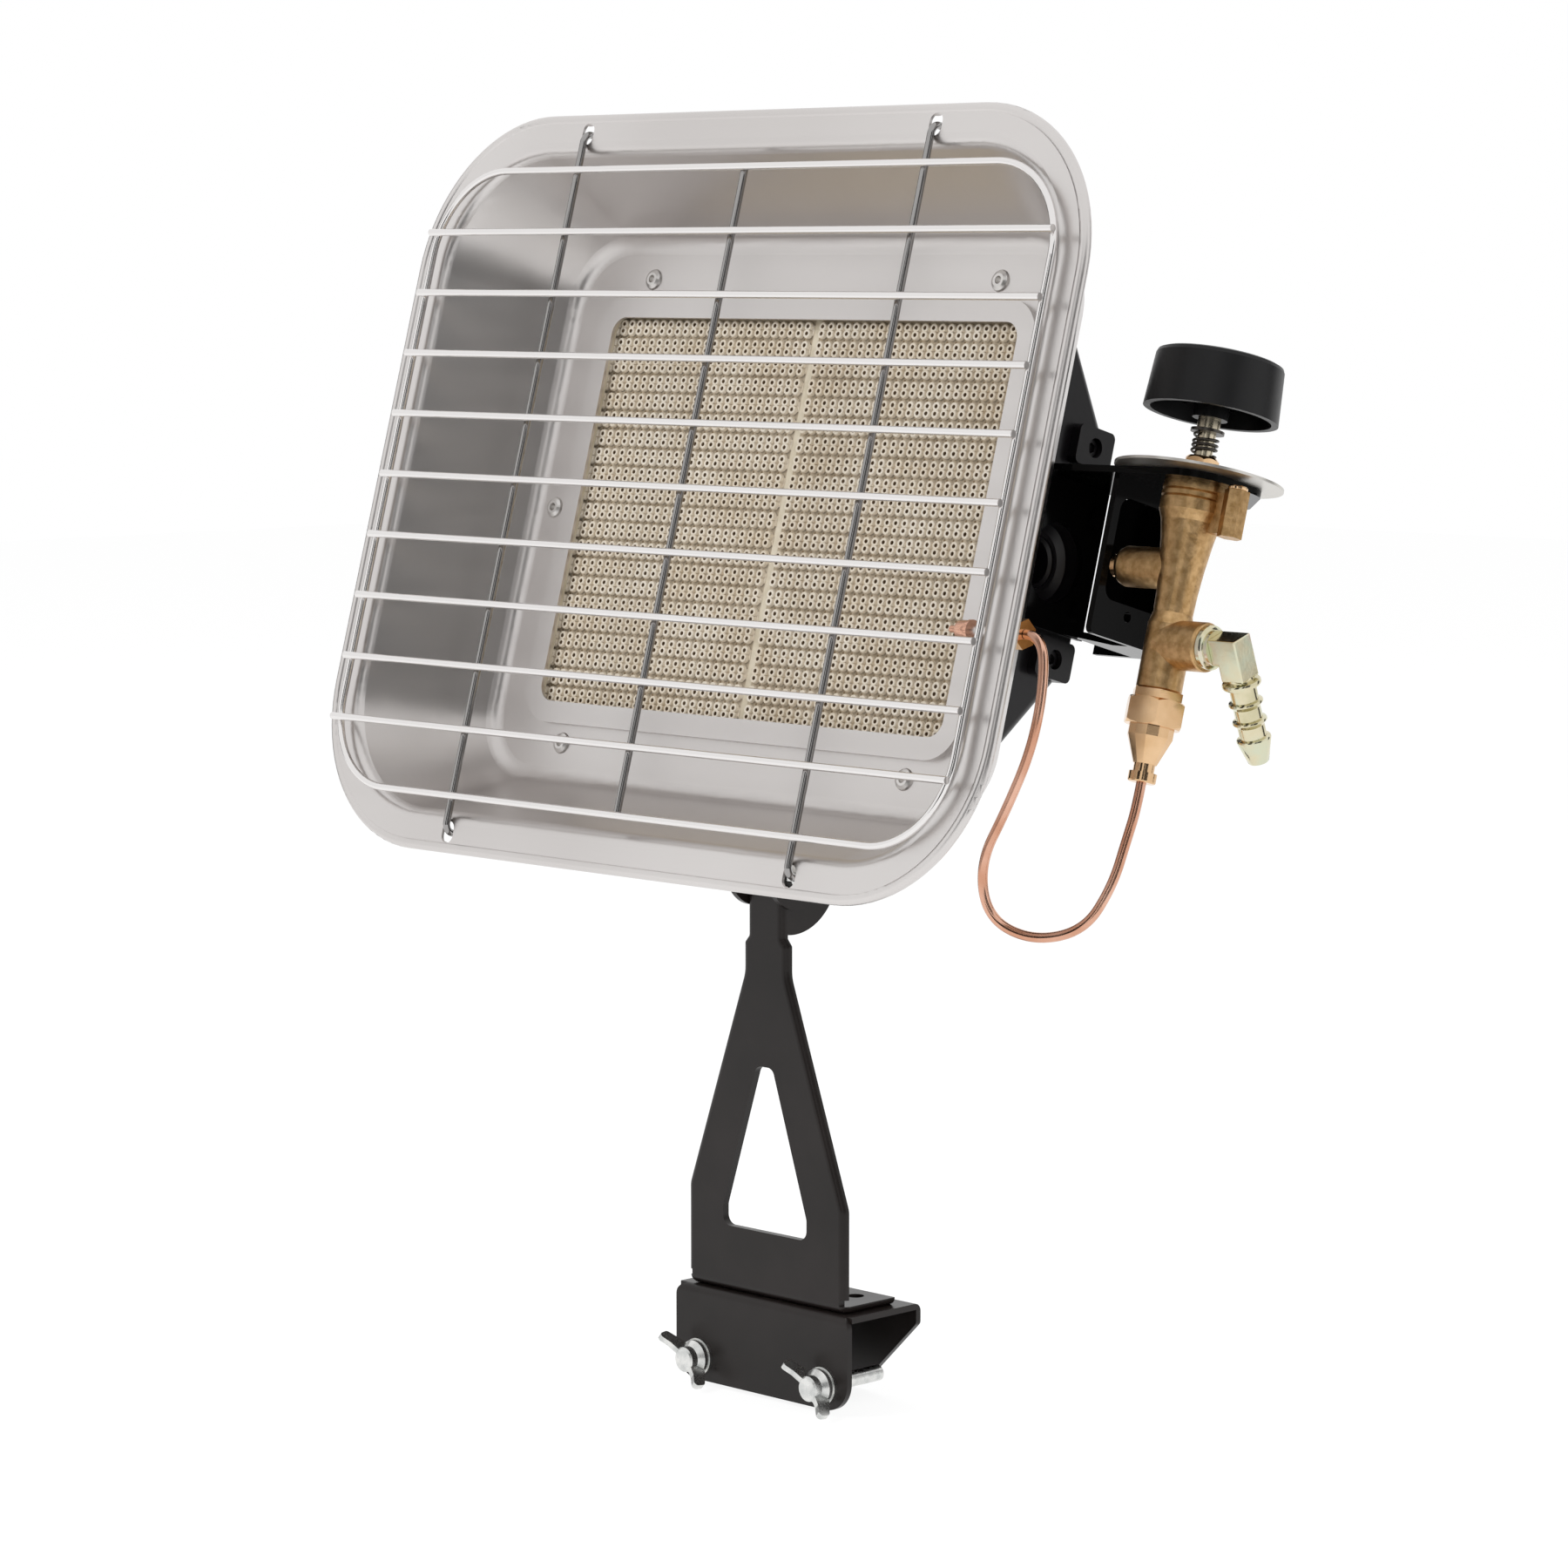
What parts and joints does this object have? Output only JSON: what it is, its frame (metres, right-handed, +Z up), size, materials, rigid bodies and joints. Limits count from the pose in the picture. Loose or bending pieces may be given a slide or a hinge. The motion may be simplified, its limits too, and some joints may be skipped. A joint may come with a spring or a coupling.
{
  "type": "portable gas heater",
  "caption": "Clamp-on radiant gas heater: ridged ceramic burner in a wire-guarded reflector that tilts on a sheet-metal post, with a valve and barbed hose tail at the side.",
  "frame": {"origin": "centre of the underside of the clamp's top plate, where the heater sits on the edge it grips", "axes": "+Z up along the post, -Y the front where the reflector faces, +X the valve side"},
  "size_m": [0.3281, 0.125, 0.4025],
  "materials": {
    "stand_paint": "satin black-brown powder coat",
    "housing_paint": "semi-gloss black enamel",
    "zinc": "bright zinc plate",
    "dish_steel": "satin stainless sheet",
    "rivet_metal": "satin",
    "black_screw": "black oxide",
    "fibre": "pressed ceramic fibre",
    "burner_ceramic": "unglazed, drilled",
    "guard_chrome": "bright plated wire",
    "dial_metal": "satin",
    "cast_brass": "sand-cast, matt",
    "turned_brass": "turned, bright",
    "spring_steel": "drawn wire",
    "stem_metal": "turned",
    "knob_plastic": "fine-grained black",
    "copper": "drawn copper tube",
    "yellow_zinc": "yellow-passivated zinc plate on steel"
  },
  "bodies": {
    "stand": {"clamp_bracket": "stand_paint", "clamp_weld_nuts": "zinc", "stand_post": "stand_paint", "tilt_spacer": "zinc", "tilt_bolt": "zinc"},
    "tilt_washer": {"tilt_washer": "zinc"},
    "tilt_nut": {"tilt_wing_nut": "zinc"},
    "left_washer": {"screw_washer_left": "zinc"},
    "left_screw": {"wing_screw_left": "zinc"},
    "right_washer": {"screw_washer_right": "zinc"},
    "right_screw": {"wing_screw_right": "zinc"},
    "head": {"hinge_bracket": "housing_paint", "reflector_dish": "dish_steel", "dish_rivets": "rivet_metal", "burner_housing": "housing_paint", "housing_screws": "black_screw", "plate_gasket": "fibre", "ceramic_plate_right": "burner_ceramic", "ceramic_plate_left": "burner_ceramic", "seam_strip": "fibre", "mixing_tube": "housing_paint", "guard_ring": "guard_chrome", "guard_bars": "guard_chrome", "guard_uprights": "guard_chrome", "valve_bracket": "housing_paint", "bracket_screws": "black_screw", "dial_disc": "dial_metal", "valve_body": "cast_brass", "injector": "turned_brass", "side_plug": "turned_brass", "gland_nut": "turned_brass", "knob_spring": "spring_steel", "union_collar": "turned_brass", "union_nut": "turned_brass", "magnet_cone": "turned_brass", "lead_nut": "turned_brass", "thermocouple_lead": "copper", "thermocouple_probe": "copper", "probe_nut": "turned_brass", "hose_elbow": "yellow_zinc"},
    "knob_carriage": {"spring_cup": "zinc"},
    "knob": {"valve_stem": "stem_metal", "knob": "knob_plastic"}
  },
  "joints": [
    {"name": "head_tilt", "type": "hinge", "parent": "stand", "child": "head", "pos_m": [0, -0.0096, 0.1382], "axis": [1, 0, 0], "range_deg": [-30, 60]},
    {"name": "tilt_nut_advance", "type": "slide", "parent": "stand", "child": "tilt_washer", "axis": [1, 0, 0], "range_m": [0, 0.005]},
    {"name": "tilt_nut_turn", "type": "hinge", "parent": "tilt_washer", "child": "tilt_nut", "pos_m": [0.0112, -0.0096, 0.1382], "axis": [1, 0, 0], "range_deg": [0, 1800]},
    {"name": "left_screw_advance", "type": "slide", "parent": "stand", "child": "left_washer", "axis": [0, -1, 0], "range_m": [0, 0.02]},
    {"name": "left_screw_turn", "type": "hinge", "parent": "left_washer", "child": "left_screw", "pos_m": [-0.0279, -0.0174, -0.0208], "axis": [0, -1, 0], "range_deg": [0, 9000]},
    {"name": "right_screw_advance", "type": "slide", "parent": "stand", "child": "right_washer", "axis": [0, -1, 0], "range_m": [0, 0.02]},
    {"name": "right_screw_turn", "type": "hinge", "parent": "right_washer", "child": "right_screw", "pos_m": [0.0279, -0.0174, -0.0208], "axis": [0, -1, 0], "range_deg": [0, 9000]},
    {"name": "knob_press", "type": "slide", "parent": "head", "child": "knob_carriage", "axis": [0, -0.2689, -0.9632], "range_m": [0, 0.004], "stiffness_N_per_m": 1500, "springref_m": -0.002, "deforming": ["knob_spring"]},
    {"name": "knob_turn", "type": "hinge", "parent": "knob_carriage", "child": "knob", "pos_m": [0.152, 0.01827, 0.28263], "axis": [0, 0.2689, 0.9632], "range_deg": [-270, 0]}
  ],
  "couplings": [
    {"joint": "tilt_nut_turn", "follows": "tilt_nut_advance", "rad_per_m": 6283.2},
    {"joint": "left_screw_turn", "follows": "left_screw_advance", "rad_per_m": 7854},
    {"joint": "right_screw_turn", "follows": "right_screw_advance", "rad_per_m": 7854}
  ]
}
